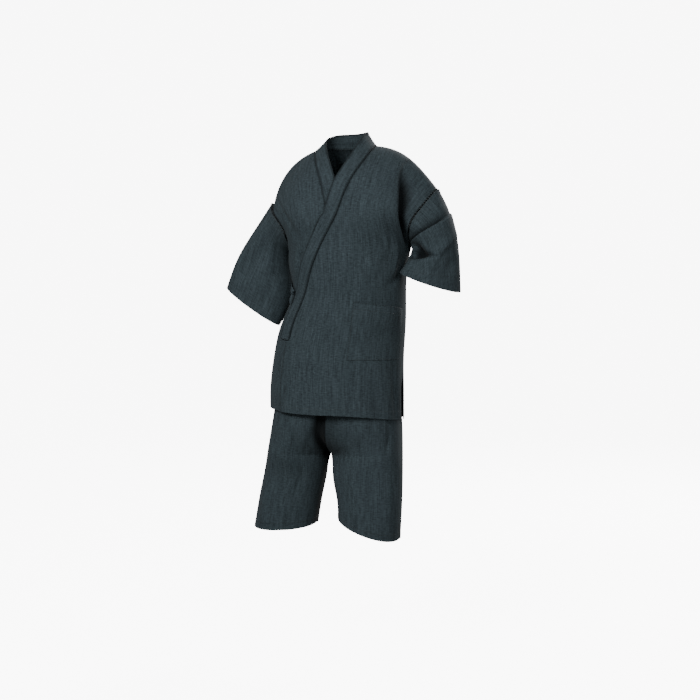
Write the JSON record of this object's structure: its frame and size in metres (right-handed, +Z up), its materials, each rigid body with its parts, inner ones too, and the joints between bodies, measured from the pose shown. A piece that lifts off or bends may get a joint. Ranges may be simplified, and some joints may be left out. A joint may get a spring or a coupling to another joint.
{
  "type": "jinbei set: wrap jacket and knee shorts, worn shape",
  "caption": "Cotton jinbei set held open in its worn shape: a wrap jacket with laced short sleeves, side slits, patch pocket and side tie, over knee-length shorts.",
  "frame": {"origin": "middle of the shoulder line at the neck, where the wearer's shoulders hold the jacket up", "axes": "+Z up, the front faces -Y, +X towards the wearer's left"},
  "size_m": [0.7208, 0.3051, 1.1766],
  "materials": {
    "cloth": "matte",
    "lace": "matte"
  },
  "bodies": {
    "root": {"back_left": "cloth", "back_right": "cloth", "collar": "cloth", "lace_left": "lace", "lace_right": "lace", "left_front": "cloth", "pocket": "cloth", "right_front": "cloth", "shorts_back_left": "cloth", "shorts_back_right": "cloth", "shorts_front_left": "cloth", "shorts_front_right": "cloth", "sleeve_left": "cloth", "sleeve_right": "cloth", "tie_end": "cloth", "tie_knot": "cloth", "tie_strap": "cloth", "waistband": "cloth"}
  },
  "joints": []
}
